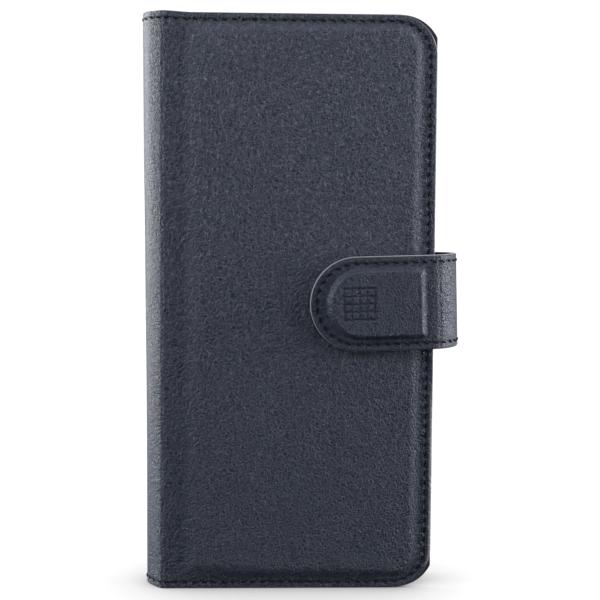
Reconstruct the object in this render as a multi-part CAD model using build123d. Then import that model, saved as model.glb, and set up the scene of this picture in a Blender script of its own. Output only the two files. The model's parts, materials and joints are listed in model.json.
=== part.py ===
"""Phone wallet case: a leather book-style cover with a rounded spine, a phone tray, card
pockets and a magnetic closing strap, modelled closed and standing on its bottom edge.

Frame: +X runs from the spine to the free edge, +Y from the front cover to the back cover, and
+Z up. The origin is the bottom centre of the closed case's bounding box. Lengths are in
millimetres. A depth is a distance behind the outer face of the front cover's sewn border.
"""

from build123d import *

import math
import os

# ---- Driving dimensions ------------------------------------------------------------------
HEIGHT = 172.0  # covers, bottom edge to top edge
WIDTH = 82.0  # one cover, from its fold to its free edge
CORNER_R = 12.0  # free corners of both covers
LEATHER = 1.2
LINING = 0.5
BOARD = 0.8
FOAM = 0.7

PHONE = (76.0, 8.0, 163.0)  # the phone the tray fits: width, thickness, height
PHONE_CORNER_R = 10.0
TRAY_WALL = 1.4
TRAY_BASE = 1.0
TRAY_LIP = 0.7  # thickness of the lip in front of the screen
LIP_REACH = 0.8  # how far the lip reaches over the screen
GLUE = 0.2
GLUE_INSET = 6.0

CARD_GAP = 0.8  # room for one card in each pocket
CASH_GAP = 0.4
SHEET = 0.4  # pocket sheets
CARD_SLOT = (49.2, 87.5)  # depth and height of the room in each card pocket
HEM = 2.25  # turned and sewn edge of a pocket
CARD_OPEN_X = (12.0, 20.0, 28.0)  # mouth of each card pocket, from the fold
CARD_POCKET_Z = 61.0  # bottom of the card pockets
CASH_OPEN_X = 6.5
POCKET_END = 2.5  # pockets stop this far from the free edge
FOLD_EDGE = 2.4  # from a fold to where a cover's leather has its full thickness
FOLD_BEVEL = (1.35, 0.85)  # the leather is pared down this far, and this deep, by the fold

SPINE_BULGE = 5.0  # how far the rounded spine stands out past the folds
STRAP_W = 28.1
STRAP_Z = 87.4  # middle height of the strap's front fold
STRAP_TILT = 1.8  # degrees, the strap is sewn on slightly askew and rises towards its fold
STRAP_REACH = 38.8  # from the strap's front fold to its tip
STRAP_BULGE = 6.4  # how far the strap stands out past its folds
STRAP_GAP_X = 1.5  # between the cover's free edge and the strap's folds
STRAP_LIFT = 0.3  # between the strap and the front cover
MAGNET = (8.0, 1.5, 13.0)
MAGNET_PITCH = 11.0
HOLDER = 1.6  # thickness of the magnet holder inside the strap
HOLDER_EDGE = 3.8  # from the strap's long edges to its magnet holder
HOLDER_TIP = 5.2  # from the strap's tip to its magnet holder
HOLDER_START = 4.4  # from the strap's front fold to its magnet holder
TAB = (10.0, 0.6)  # sewn-in end of the strap: length inside the back cover, thickness

PAD_FOOT = 3.3  # from the free edge to the foot of the padded panel
PAD_FOOT_END = 2.6  # from the top and bottom edges to the foot of the padded panel
PAD_FOLD = 7.5  # from the fold to the foot of the padded panel
PAD_WALL = 2.2  # leather left round the filling of the padded panel
SEAM_INSET = 2.0
SEAM_PITCH = 2.9
STITCH_LEN = 2.1
THREAD_R = 0.22
GROOVE_W = 0.8
GROOVE_D = 0.45

CAMERA = (44.0, 74.0, 117.0, 161.0)  # window in the tray base: low X, high X, low Z, high Z
CAMERA_R = 8.0
COLLAR = 1.2  # wall of the tray's camera collar
KEY_H = 3.6
KEY_BUMP = 0.5
KEY_GAP = 0.2
POWER_KEY = (111.0, 10.0)  # centre height, length
VOLUME_KEY = (132.0, 22.0)

# ---- Depths of the layers ----------------------------------------------------------------
PANEL_RISE = FOAM + BOARD  # the front panel stands this far proud of its border
COVER_INNER = LEATHER + LINING
CASH_TOP = COVER_INNER + CASH_GAP + SHEET
POCKET_TOP = CASH_TOP + 3 * (CARD_GAP + SHEET)
TRAY_FRONT = POCKET_TOP + 0.4
SCREEN = TRAY_FRONT + TRAY_LIP
TRAY_FLOOR = SCREEN + PHONE[1]
TRAY_BACK = TRAY_FLOOR + TRAY_BASE
BACK_INNER = TRAY_BACK + GLUE
BACK_LEATHER = BACK_INNER + LINING
BACK_FACE = BACK_LEATHER + LEATHER
BACK_RISE = BACK_FACE + BOARD
STRAP_INNER = -PANEL_RISE - STRAP_LIFT
STRAP_LEATHER = STRAP_INNER - LINING
STRAP_FACE = STRAP_LEATHER - LEATHER
STRAP_TOP = STRAP_FACE - HOLDER
STRAP_ROOT = BACK_FACE - 0.2  # depth of the strap's rear fold

# ---- Place of the frame ------------------------------------------------------------------
TILT = math.radians(STRAP_TILT)
STRAP_OUT = STRAP_GAP_X + STRAP_BULGE * math.cos(TILT) + STRAP_W / 2 * math.sin(TILT)
X_FOLD = -(WIDTH + STRAP_OUT - SPINE_BULGE) / 2
X_EDGE = X_FOLD + WIDTH
X_STRAP = X_EDGE + STRAP_GAP_X
Y_FACE = -(STRAP_TOP + BACK_RISE) / 2
TRAY_W = PHONE[0] + 2 * TRAY_WALL
TRAY_H = PHONE[2] + 2 * TRAY_WALL
X_TRAY = X_EDGE - 0.8  # outer face of the tray's free side
Z_TRAY = (HEIGHT - TRAY_H) / 2


def depth(d):
    """Y of a depth behind the front cover's border."""
    return Y_FACE + d


# ---- Shapes shared by several parts ------------------------------------------------------
def plate(x0, x1, z0, z1, d0, d1, r_free=0.0, r_fold=0.0):
    """A slab parallel to the covers, from depth d0 to d1. r_free and r_fold round its corners
    on the free side and the fold side."""
    outline = Rectangle(x1 - x0, z1 - z0)
    if r_fold:
        outline = fillet(outline.vertices().sort_by(Axis.X)[:2], r_fold)
    if r_free:
        outline = fillet(outline.vertices().sort_by(Axis.X)[-2:], r_free)
    middle = ((x0 + x1) / 2, depth(d0), (z0 + z1) / 2)
    return extrude(Plane(middle, x_dir=(1, 0, 0), z_dir=(0, -1, 0)) * outline, amount=d0 - d1)


def cover_plate(start, inset, d0, d1, end_inset=None):
    """A plate with a cover's outline. It starts at a distance from the fold, and lies inside
    the free edge by inset and inside the top and bottom edges by end_inset."""
    ends = inset if end_inset is None else end_inset
    radius = CORNER_R - max(inset, ends)
    return plate(X_FOLD + start, X_EDGE - inset, ends, HEIGHT - ends, d0, d1, radius)


def camera_plate(grow, d0, d1):
    """The camera window's outline, grown by a margin."""
    x0, x1, z0, z1 = CAMERA
    r = CAMERA_R + grow
    return plate(
        X_FOLD + x0 - grow, X_FOLD + x1 + grow, z0 - grow, z1 + grow, d0, d1, r, r
    )


class Arch:
    """A circular arch seen from above, from one fold to another. side is -1 if it bulges
    towards -X and 1 if towards +X. Radii are measured from its outer face."""

    def __init__(self, x, d0, d1, bulge, side):
        half = (d1 - d0) / 2
        self.side = side
        self.middle = depth((d0 + d1) / 2)
        self.radius = (half**2 + bulge**2) / (2 * bulge)
        self.half_angle = math.asin(half / self.radius)
        self.x = x + side * (bulge - self.radius)

    def point(self, inward, angle, z=0.0):
        """A point at a distance inside the outer face. angle is in radians from mid-arch."""
        r = self.radius - inward
        return Vector(
            self.x + self.side * r * math.cos(angle),
            self.middle + r * math.sin(angle),
            z,
        )

    def band(self, outer, inner, trim, z0, z1):
        """The layer between two distances inside the outer face. trim shortens each end."""
        a = self.half_angle - trim / self.radius
        rim = [
            ThreePointArc(*(self.point(outer, t, z0) for t in (-a, 0, a))),
            Line(self.point(outer, a, z0), self.point(inner, a, z0)),
            ThreePointArc(*(self.point(inner, t, z0) for t in (a, 0, -a))),
            Line(self.point(inner, -a, z0), self.point(outer, -a, z0)),
        ]
        return extrude(make_face(rim), amount=z1 - z0, dir=(0, 0, 1))

    def wall(self, z0, z1):
        """The arch's leather. Its ends are rounded about the fold axes."""
        shape = self.band(0, LEATHER, 0, z0, z1)
        for side in (-1, 1):
            middle = self.point(LEATHER / 2, side * self.half_angle, z0)
            shape += extrude(Plane(middle) * Circle(LEATHER / 2), amount=z1 - z0)
        return shape


def tilt(shape):
    """Turns a strap part by the strap's tilt, about the middle of its front fold."""
    return shape.rotate(Axis((X_STRAP, 0, STRAP_Z), (0, -1, 0)), STRAP_TILT)


def pared_cover(d0, d1, d_out):
    """A cover's leather from depth d0 to d1, pared down by the fold on its outer face, which
    is at depth d_out."""
    run, drop = FOLD_BEVEL
    sheet = cover_plate(FOLD_EDGE - run, 0, d0, d1)
    edges = sheet.edges().filter_by(Axis.Z).sort_by(Axis.X)[:2]
    outer = edges.sort_by(lambda e: abs(e.center().Y - depth(d_out)))[0]
    face = sheet.faces().sort_by(Axis.X)[0]
    return chamfer(outer, drop, run, reference=face)


def stitch(point, direction):
    """One visible stitch, lying along the seam."""
    return Plane(point, z_dir=direction) * Cylinder(THREAD_R, STITCH_LEN)


def seam(path):
    """Stitches evenly spaced along a path."""
    count = round(path.length / SEAM_PITCH)
    return [stitch(path @ t, path % t) for t in ((i + 0.5) / count for i in range(count))]


def cover_seam(d):
    """The seam of one cover at a depth: along the bottom, up the free edge and back."""
    start = X_FOLD + FOLD_EDGE
    end = X_EDGE - SEAM_INSET
    y = depth(d)
    corners = [
        (start, y, SEAM_INSET),
        (end, y, SEAM_INSET),
        (end, y, HEIGHT - SEAM_INSET),
        (start, y, HEIGHT - SEAM_INSET),
    ]
    return seam(FilletPolyline(*corners, radius=CORNER_R - SEAM_INSET))


def cover_groove(d0, d1):
    """The groove that the seam pulls into a cover's leather."""
    low, high = SEAM_INSET - GROOVE_W / 2, SEAM_INSET + GROOVE_W / 2
    return cover_plate(-1, low, d0, d1) - cover_plate(-2, high, d0, d1)


# ---- Front cover -------------------------------------------------------------------------
def front_pad(inset, d0, d1):
    """The outline of the padded panel."""
    return plate(
        X_FOLD + PAD_FOLD + inset,
        X_EDGE - PAD_FOOT - inset,
        PAD_FOOT_END + inset,
        HEIGHT - PAD_FOOT_END - inset,
        d0,
        d1,
        CORNER_R - PAD_FOOT - inset / 2,
        1.5,
    )


def front_leather():
    border = pared_cover(0, LEATHER, 0)
    pad = front_pad(0, -PANEL_RISE, 0)
    pad = chamfer(pad.faces().sort_by(Axis.Y)[0].edges(), 0.9 * PANEL_RISE)
    hollow = front_pad(PAD_WALL, LEATHER - PANEL_RISE, LEATHER)
    return border + pad - hollow - cover_groove(0, GROOVE_D)


def catch_plate(grow=0.0):
    """Steel plate that the strap's magnets pull on."""
    x = X_STRAP - STRAP_REACH / 2 - 2
    return plate(
        x - 13 - grow,
        x + 13 + grow,
        STRAP_Z - 10 - grow,
        STRAP_Z + 9 + grow,
        LEATHER - BOARD - 0.5 - grow,
        LEATHER - BOARD,
        2.0,
        2.0,
    )


def front_foam():
    filling = front_pad(PAD_WALL + 0.05, LEATHER - PANEL_RISE, LEATHER - BOARD)
    return filling - catch_plate(0.1)


def front_board():
    return front_pad(PAD_WALL + 0.05, LEATHER - BOARD, LEATHER)


def front_lining():
    return cover_plate(2.0, 0, LEATHER, COVER_INNER)


def pocket(mouth, slot_depth, z0, z1, d_under, gap, radius=0.0):
    """A pocket: a sheet over a gap, turned under and sewn down all round but at its mouth."""
    x0, x1 = X_FOLD + mouth, X_EDGE - POCKET_END
    middle = d_under + gap
    sheet = plate(x0, x1, z0, z1, middle, middle + SHEET, radius)
    hem = plate(x0, x1, z0, z1, d_under, middle, radius)
    end = x0 + slot_depth
    room = plate(x0 - 1, end, z0 + HEM, z1 - HEM, d_under, middle, max(radius - HEM, 0))
    return sheet + (hem - room)


def card_pocket(number):
    slot_depth, slot_height = CARD_SLOT
    z1 = CARD_POCKET_Z + slot_height + 2 * HEM
    under = CASH_TOP + number * (CARD_GAP + SHEET)
    return pocket(CARD_OPEN_X[number], slot_depth, CARD_POCKET_Z, z1, under, CARD_GAP)


def cash_pocket():
    radius = CORNER_R - POCKET_END
    slot_depth = WIDTH - CASH_OPEN_X - POCKET_END - HEM
    z1 = HEIGHT - POCKET_END
    return pocket(CASH_OPEN_X, slot_depth, POCKET_END, z1, COVER_INNER, CASH_GAP, radius)


def pocket_thread():
    """Stitches on the hems of the card pockets, and on the cash pocket above and below."""
    stitches = []
    end = X_EDGE - POCKET_END - HEM / 2
    low, high = CARD_POCKET_Z + HEM / 2, CARD_POCKET_Z + CARD_SLOT[1] + 1.5 * HEM
    mouths = [X_FOLD + x for x in CARD_OPEN_X] + [end]
    for i in range(len(CARD_OPEN_X)):
        y = depth(CASH_TOP + (i + 1) * (CARD_GAP + SHEET) + THREAD_R)
        for z in (low, high):
            stitches += seam(Line((mouths[i] + 0.5, y, z), (mouths[i + 1] - 0.5, y, z)))
    stitches += seam(Line((end, y, low + 0.5), (end, y, high - 0.5)))
    y = depth(CASH_TOP + THREAD_R)
    start = X_FOLD + CASH_OPEN_X + 0.5
    radius = CORNER_R - POCKET_END - HEM / 2
    margin = POCKET_END + HEM / 2
    for rim, stop in ((margin, low - 3), (HEIGHT - margin, high + 3)):
        corners = [(start, y, rim), (end, y, rim), (end, y, stop)]
        stitches += seam(FilletPolyline(*corners, radius=radius))
    return stitches


# ---- Spine -------------------------------------------------------------------------------
SPINE = Arch(X_FOLD, 0, BACK_FACE, SPINE_BULGE, -1)
SPINE_CARD = 0.4  # stiffener between the spine's leather and lining


def arch_seam(arch, z, inward):
    """Stitches across an arch at one height."""
    count = round(2 * arch.half_angle * arch.radius / SEAM_PITCH)
    angles = [arch.half_angle * ((2 * i + 1) / count - 1) for i in range(count)]
    return [
        stitch(arch.point(inward, a, z), (-arch.side * math.sin(a), math.cos(a), 0))
        for a in angles
    ]


def arch_groove(arch, z):
    return arch.band(-0.5, GROOVE_D, -1, z - GROOVE_W / 2, z + GROOVE_W / 2)


def spine_leather():
    wall = SPINE.wall(0, HEIGHT)
    return wall - arch_groove(SPINE, SEAM_INSET) - arch_groove(SPINE, HEIGHT - SEAM_INSET)


def spine_stiffener():
    inset = 2 * SEAM_INSET
    return SPINE.band(LEATHER, LEATHER + SPINE_CARD, 5.0, inset, HEIGHT - inset)


def spine_lining():
    start = LEATHER + SPINE_CARD
    return SPINE.band(start, start + LINING, 2.5, 0, HEIGHT)


# ---- Back cover and tray -----------------------------------------------------------------
def back_leather():
    border = pared_cover(BACK_LEATHER, BACK_FACE, BACK_FACE)
    rise = cover_plate(4.0, 4.5, BACK_FACE, BACK_RISE)
    rise = chamfer(rise.faces().sort_by(Axis.Y)[-1].edges(), 0.6 * BOARD)
    hollow = cover_plate(5.5, 6.0, BACK_LEATHER, BACK_LEATHER + BOARD)
    shape = border + rise - hollow - cover_groove(BACK_FACE - GROOVE_D, BACK_FACE)
    return shape - camera_plate(COLLAR + 0.4, BACK_LEATHER - 1, BACK_RISE + 1) - strap_tab(0.1)


def strap_tab(grow=0.0):
    """The strap's sewn-in end, or the room for it, between the back leather and lining. It
    runs out to the strap's rear fold."""
    length, thickness = TAB
    half = STRAP_W / 2 - 0.5 + grow
    end = WRAP.point(LEATHER / 2, WRAP.half_angle).X - LEATHER / 2 - 0.1
    z0, z1 = STRAP_Z - half, STRAP_Z + half
    x0 = X_EDGE - length - grow
    return tilt(plate(x0, end + grow, z0, z1, BACK_LEATHER, BACK_LEATHER + thickness))


def back_board():
    board = cover_plate(5.6, 6.1, BACK_LEATHER, BACK_LEATHER + BOARD)
    tab = plate(
        X_EDGE - 11,
        X_EDGE,
        STRAP_Z - STRAP_W / 2 - 1,
        STRAP_Z + STRAP_W / 2 + 1,
        BACK_LEATHER,
        BACK_FACE,
    )
    return board - camera_plate(COLLAR + 0.8, BACK_LEATHER - 1, BACK_RISE) - tab


def back_lining():
    lining = cover_plate(2.0, 0, BACK_INNER, BACK_LEATHER)
    return lining - camera_plate(COLLAR + 0.4, BACK_INNER - 1, BACK_LEATHER + 1)


def tray_plate(inset, d0, d1):
    """The tray's outline, inset on every side."""
    r = PHONE_CORNER_R + TRAY_WALL - inset
    return plate(
        X_TRAY - TRAY_W + inset,
        X_TRAY - inset,
        Z_TRAY + inset,
        Z_TRAY + TRAY_H - inset,
        d0,
        d1,
        r,
        r,
    )


def tray_glue():
    x0, x1 = X_TRAY - TRAY_W + GLUE_INSET, X_TRAY - GLUE_INSET
    z0, z1 = Z_TRAY + GLUE_INSET, CAMERA[2] - GLUE_INSET
    return plate(x0, x1, z0, z1, TRAY_BACK, BACK_INNER, 4, 4)


def end_slot(z, x, length, width):
    """A rounded slot through the tray's top or bottom wall, at the phone's mid-depth."""
    at = Plane((x, depth((SCREEN + TRAY_FLOOR) / 2), z), x_dir=(1, 0, 0), z_dir=(0, 0, 1))
    shape = Circle(width / 2) if length == width else SlotOverall(length, width)
    return extrude(at * shape, amount=2 * TRAY_WALL, both=True)


def key_body(key, grow, x0, x1):
    """A rounded bar across the tray's free wall: a key cover, or the window it sits in."""
    z, length = key
    at = Plane(
        (x0, depth((SCREEN + TRAY_FLOOR) / 2), z), x_dir=(0, 0, 1), z_dir=(1, 0, 0)
    )
    return extrude(at * SlotOverall(length + 2 * grow, KEY_H + 2 * grow), amount=x1 - x0)


def phone_tray():
    shell = tray_plate(0, TRAY_FRONT, TRAY_BACK)
    shell = fillet(shell.faces().sort_by(Axis.Y)[-1].edges(), 0.9 * TRAY_BASE)
    shell = fillet(shell.faces().sort_by(Axis.Y)[0].edges(), 0.4)
    room = tray_plate(TRAY_WALL, SCREEN, TRAY_FLOOR)
    room = fillet(room.faces().sort_by(Axis.Y)[-1].edges(), 0.8)
    shell -= room
    shell -= tray_plate(TRAY_WALL + LIP_REACH, TRAY_FRONT - 1, SCREEN)
    shell += camera_plate(COLLAR, TRAY_BACK, BACK_RISE - 0.3)
    shell -= camera_plate(0, TRAY_FLOOR - 1, BACK_RISE + 1)
    middle = X_TRAY - TRAY_W / 2
    shell -= end_slot(Z_TRAY, middle, 12.5, 5.5)  # charging port
    shell -= end_slot(Z_TRAY, middle + 18, 13.0, 2.6)  # loudspeaker
    shell -= end_slot(Z_TRAY, middle - 14, 1.6, 1.6)  # microphone
    shell -= end_slot(Z_TRAY + TRAY_H, middle + 14, 1.6, 1.6)  # upper microphone
    for key in (POWER_KEY, VOLUME_KEY):
        shell -= key_body(key, KEY_GAP, X_TRAY - TRAY_WALL - 1, X_TRAY + 1)
    return shell


def key_cover(key):
    bar = key_body(key, 0, X_TRAY - TRAY_WALL, X_TRAY + KEY_BUMP)
    return fillet(bar.faces().sort_by(Axis.X)[-1].edges(), 0.3)


# ---- Strap -------------------------------------------------------------------------------
WRAP = Arch(X_STRAP, STRAP_FACE, STRAP_ROOT, STRAP_BULGE, 1)
STRAP_Z0, STRAP_Z1 = STRAP_Z - STRAP_W / 2, STRAP_Z + STRAP_W / 2


def flap_plate(inset, start, d0, d1):
    """The strap's round-ended outline. It starts at a distance from the front fold."""
    x1 = X_STRAP - start
    half = STRAP_W / 2 - inset
    x0 = X_STRAP - STRAP_REACH + inset
    r = half - 0.001
    return plate(x0, x1, STRAP_Z - half, STRAP_Z + half, d0, d1, 0, r)


def holder_plate(inset, d0, d1):
    """The D-shaped outline of the magnet holder."""
    half = STRAP_W / 2 - HOLDER_EDGE - inset
    return plate(
        X_STRAP - STRAP_REACH + HOLDER_TIP + inset,
        X_STRAP - HOLDER_START - inset,
        STRAP_Z - half,
        STRAP_Z + half,
        d0,
        d1,
        1.2,
        half - 0.001,
    )


def magnets(grow=0.0):
    """The magnets, or their pockets: two bars across the strap."""
    w, t, h = MAGNET
    middle = X_STRAP - STRAP_REACH / 2 - 0.3
    bars = []
    for x in (middle - MAGNET_PITCH / 2, middle + MAGNET_PITCH / 2):
        bars.append(
            plate(
                x - w / 2 - grow,
                x + w / 2 + grow,
                STRAP_Z - h / 2 - grow,
                STRAP_Z + h / 2 + grow,
                STRAP_LEATHER - t - grow,
                STRAP_LEATHER,
            )
        )
    return bars


def flap_groove():
    low, high = SEAM_INSET - GROOVE_W / 2, SEAM_INSET + GROOVE_W / 2
    d0, d1 = STRAP_FACE, STRAP_FACE + GROOVE_D
    return flap_plate(low, -1, d0, d1) - flap_plate(high, -2, d0, d1)


def flap_leather():
    border = flap_plate(0, 1.0, STRAP_FACE, STRAP_LEATHER)
    pad = holder_plate(-0.6, STRAP_TOP, STRAP_FACE)
    pad = chamfer(pad.faces().sort_by(Axis.Y)[0].edges(), 1.0)
    hollow = holder_plate(0.6, STRAP_LEATHER - HOLDER, STRAP_LEATHER)
    return tilt(border + pad - hollow - flap_groove())


def flap_lining():
    return tilt(flap_plate(0, 1.0, STRAP_LEATHER, STRAP_INNER))


def magnet_holder():
    body = holder_plate(0.65, STRAP_LEATHER - HOLDER, STRAP_LEATHER)
    for room in magnets(0.05):
        body -= room
    return tilt(body)


def flap_thread():
    """Stitches round the flap, from the front fold to the tip and back."""
    start = X_STRAP - SEAM_PITCH / 2
    end = X_STRAP - STRAP_REACH + SEAM_INSET
    half = STRAP_W / 2 - SEAM_INSET
    y = depth(STRAP_FACE + THREAD_R)
    corners = [
        (start, y, STRAP_Z - half),
        (end, y, STRAP_Z - half),
        (end, y, STRAP_Z + half),
        (start, y, STRAP_Z + half),
    ]
    path = FilletPolyline(*corners, radius=half - 0.001)
    return [tilt(s) for s in seam(path)]


def wrap_leather():
    wall = WRAP.wall(STRAP_Z0, STRAP_Z1)
    for z in (STRAP_Z0 + SEAM_INSET, STRAP_Z1 - SEAM_INSET):
        wall -= arch_groove(WRAP, z)
    return tilt(wall)


def wrap_lining():
    return tilt(WRAP.band(LEATHER, LEATHER + LINING, 1.0, STRAP_Z0, STRAP_Z1))


def wrap_thread():
    rows = (STRAP_Z0 + SEAM_INSET, STRAP_Z1 - SEAM_INSET)
    return [tilt(s) for z in rows for s in arch_seam(WRAP, z, THREAD_R)]


# ---- Parts -------------------------------------------------------------------------------
def build():
    parts = {
        "front_leather": front_leather(),
        "front_foam": front_foam(),
        "front_board": front_board(),
        "front_lining": front_lining(),
        "catch_plate": catch_plate(),
        "cash_pocket": cash_pocket(),
        "pocket_thread": pocket_thread(),
        "front_thread": cover_seam(THREAD_R),
        "spine_leather": spine_leather(),
        "spine_stiffener": spine_stiffener(),
        "spine_lining": spine_lining(),
        "spine_thread": [
            s
            for z in (SEAM_INSET, HEIGHT - SEAM_INSET)
            for s in arch_seam(SPINE, z, THREAD_R)
        ],
        "back_leather": back_leather(),
        "back_board": back_board(),
        "back_lining": back_lining(),
        "back_thread": cover_seam(BACK_FACE - THREAD_R),
        "tray_glue": tray_glue(),
        "phone_tray": phone_tray(),
        "power_key_cover": key_cover(POWER_KEY),
        "volume_key_cover": key_cover(VOLUME_KEY),
        "strap_tab": strap_tab(),
        "wrap_leather": wrap_leather(),
        "wrap_lining": wrap_lining(),
        "wrap_thread": wrap_thread(),
        "flap_leather": flap_leather(),
        "flap_lining": flap_lining(),
        "flap_thread": flap_thread(),
        "magnet_holder": magnet_holder(),
        "magnets": [tilt(m) for m in magnets()],
    }
    for i in range(len(CARD_OPEN_X)):
        parts[f"card_pocket_{i + 1}"] = card_pocket(i)
    return parts


def main():
    os.makedirs("parts", exist_ok=True)
    for name, shape in build().items():
        whole = Compound(children=list(shape)) if isinstance(shape, list) else shape
        export_step(whole, f"parts/{name}.step")


main()
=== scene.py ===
"""Looks of the phone wallet case: grained leather over padded boards, sewn edges, a magnetic
strap, and the lined inside with its tray and pockets. Shapes are laid out in millimetres in
the CAD's frame and turned into metres when a mesh is made."""

import json
import math

import bpy
import numpy as np
from mathutils import Euler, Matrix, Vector


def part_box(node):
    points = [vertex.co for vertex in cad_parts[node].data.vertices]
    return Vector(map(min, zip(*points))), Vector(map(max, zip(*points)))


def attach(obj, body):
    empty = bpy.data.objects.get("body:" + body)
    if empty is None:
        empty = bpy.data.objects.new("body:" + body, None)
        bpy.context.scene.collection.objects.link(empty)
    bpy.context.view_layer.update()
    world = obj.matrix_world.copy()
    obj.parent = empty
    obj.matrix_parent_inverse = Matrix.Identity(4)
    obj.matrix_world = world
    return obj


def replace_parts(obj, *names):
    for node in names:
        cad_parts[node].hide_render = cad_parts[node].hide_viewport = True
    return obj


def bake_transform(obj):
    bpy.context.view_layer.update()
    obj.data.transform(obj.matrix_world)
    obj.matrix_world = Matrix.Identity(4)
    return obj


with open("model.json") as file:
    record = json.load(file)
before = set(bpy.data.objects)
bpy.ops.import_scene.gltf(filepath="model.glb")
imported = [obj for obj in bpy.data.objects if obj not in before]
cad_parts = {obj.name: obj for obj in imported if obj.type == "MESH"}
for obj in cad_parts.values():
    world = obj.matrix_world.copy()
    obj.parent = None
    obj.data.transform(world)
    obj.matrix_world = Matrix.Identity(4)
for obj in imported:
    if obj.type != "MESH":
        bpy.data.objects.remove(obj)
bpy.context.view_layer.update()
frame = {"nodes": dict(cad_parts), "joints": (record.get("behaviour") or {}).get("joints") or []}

# ---- Places read from the CAD ----


def cad_box_mm(node):
    low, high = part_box(node)
    return np.array(low) * 1000, np.array(high) * 1000


front_low, front_high = cad_box_mm("front_leather")
back_high = cad_box_mm("back_leather")[1]
spine_low = cad_box_mm("spine_leather")[0]
lining_low = cad_box_mm("front_lining")[0]
flap_low = cad_box_mm("flap_leather")[0]
tab_low = cad_box_mm("strap_tab")[0]
joints = {j["name"]: j for j in frame["joints"]}

LEATHER = 1.2
LINING = 0.5
HEIGHT = front_high[2]
X_EDGE = front_high[0]
CREASE = 0.8  # the pressed crease lies this far inside the CAD's fold
LINING_START = 2.0  # the CAD's flat lining starts this far inside its fold
X_FOLD = lining_low[0] - LINING_START + CREASE
CORNER_R = 12.0
FACE = lining_low[1] - LEATHER  # Y of the front cover's sewn border
PANEL_RISE = FACE - front_low[1]
BACK = tab_low[1] + LEATHER  # Y of the back cover's sewn border
BACK_RISE = back_high[1] - BACK
SPINE_BULGE = X_FOLD - spine_low[0]
MIDDLE = (FACE + BACK) / 2

TILT = math.asin(-joints["strap_tip_fold"]["axis"][0])
STRAP_Z = 87.4  # height of the strap's middle line at its folds
X_STRAP = X_EDGE + 1.5  # the strap's folds
STRAP_W = 28.1
STRAP_REACH = 38.8  # from the front fold to the flap's tip
STRAP_BULGE = 6.4  # how far the bow stands out from the folds
STRAP_FACE = cad_box_mm("flap_lining")[0][1] - LEATHER  # Y of the flap's sewn border
STRAP_RISE = STRAP_FACE - flap_low[1]
STRAP_ROOT = BACK - 0.2

SEAM = 2.0  # the stitches' distance from an edge
PITCH = 2.9
THREAD_R = 0.29
JUMP = 10  # counts left out between two separate runs of one piece's stitches
EDGE_R = 0.45

rng = np.random.default_rng(7)


# ---- Small helpers ----
def smooth(low, high, v):
    t = np.clip((v - low) / (high - low), 0, 1)
    return t * t * (3 - 2 * t)


def inside(x, z, x0, x1, z0, z1, r_left, r_right):
    """Distance inside a rectangle with rounded corners; negative outside."""
    qx = np.abs(x - (x0 + x1) / 2) - (x1 - x0) / 2
    qz = np.abs(z - (z0 + z1) / 2) - (z1 - z0) / 2
    r = np.where(x > (x0 + x1) / 2, r_right, r_left)
    qx, qz = qx + r, qz + r
    return r - np.hypot(np.maximum(qx, 0), np.maximum(qz, 0)) - np.minimum(np.maximum(qx, qz), 0)


def waves(a, b, size):
    """A gentle unevenness, about one size high."""
    return size * (
        0.5 * np.sin(a / 9.1 + 1.3 * np.sin(b / 17.0))
        + 0.3 * np.sin(b / 11.3 + a / 23.0 + 0.7)
        + 0.2 * np.sin(a / 4.3 - b / 6.1)
    )


def make_mesh(name, points, faces, materials, face_material=None, attributes=None):
    """A smooth-shaded mesh from millimetre points."""
    data = bpy.data.meshes.new(name)
    data.from_pydata((np.asarray(points) * 0.001).tolist(), [], [list(f) for f in faces])
    for material in materials:
        data.materials.append(material)
    if face_material is not None:
        data.polygons.foreach_set("material_index", np.asarray(face_material, np.int32))
    for key, values in (attributes or {}).items():
        attribute = data.attributes.new(key, "FLOAT_VECTOR", "POINT")
        attribute.data.foreach_set("vector", np.asarray(values, np.float32).ravel())
    data.polygons.foreach_set("use_smooth", np.ones(len(data.polygons), bool))
    data.update()
    obj = bpy.data.objects.new(name, data)
    bpy.context.scene.collection.objects.link(obj)
    return obj


def sheet(name, outer, inner, coordinates, materials, edge_faces=None, seam=None, keep=None):
    """A closed sheet between two grids of points. The side walls use the second material, and
    so do the outer faces marked in edge_faces. keep marks the cells left beside an opening."""
    pairs = np.concatenate([outer, inner], -1).reshape(-1, 6)
    _, first, same = np.unique(np.round(pairs, 4), axis=0, return_index=True, return_inverse=True)
    index = same.reshape(outer.shape[:2])
    kept = np.ones((index.shape[0] - 1, index.shape[1] - 1), bool) if keep is None else keep
    edge = np.zeros(kept.shape, int) if edge_faces is None else edge_faces.astype(int)
    cells = np.stack([index[:-1, :-1], index[1:, :-1], index[1:, 1:], index[:-1, 1:]], -1)
    top, which = [], []
    for cell, material in zip(cells[kept].tolist(), edge[kept].tolist()):
        corners = list(dict.fromkeys(cell))
        if len(corners) > 2:
            top.append(corners)
            which.append(material)
    count = len(first)
    sides = {(a, b) for f in top for a, b in zip(f, f[1:] + f[:1])}
    rim = sorted(e for e in sides if e[::-1] not in sides)
    bottom = [[i + count for i in reversed(f)] for f in top]
    wall = [[b, a, a + count, b + count] for a, b in rim]
    points = np.concatenate([pairs[first, :3], pairs[first, 3:]])
    place = coordinates.reshape(-1, 3)[first]
    attributes = {"grain": np.concatenate([place, place + np.array([0, 0, 40.0])])}
    if seam is not None:
        near = seam.reshape(-1, 3)[first]
        attributes["seam"] = np.concatenate([near, near + np.array([0, 50.0, 0])])
    which = which + [0] * len(bottom) + [1] * len(wall)
    obj = make_mesh(name, points, top + bottom + wall, materials, which, attributes)
    if volume(points, top + bottom + wall) < 0:
        obj.data.flip_normals()
    obj.data.set_sharp_from_angle(angle=math.radians(55))
    return obj


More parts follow.
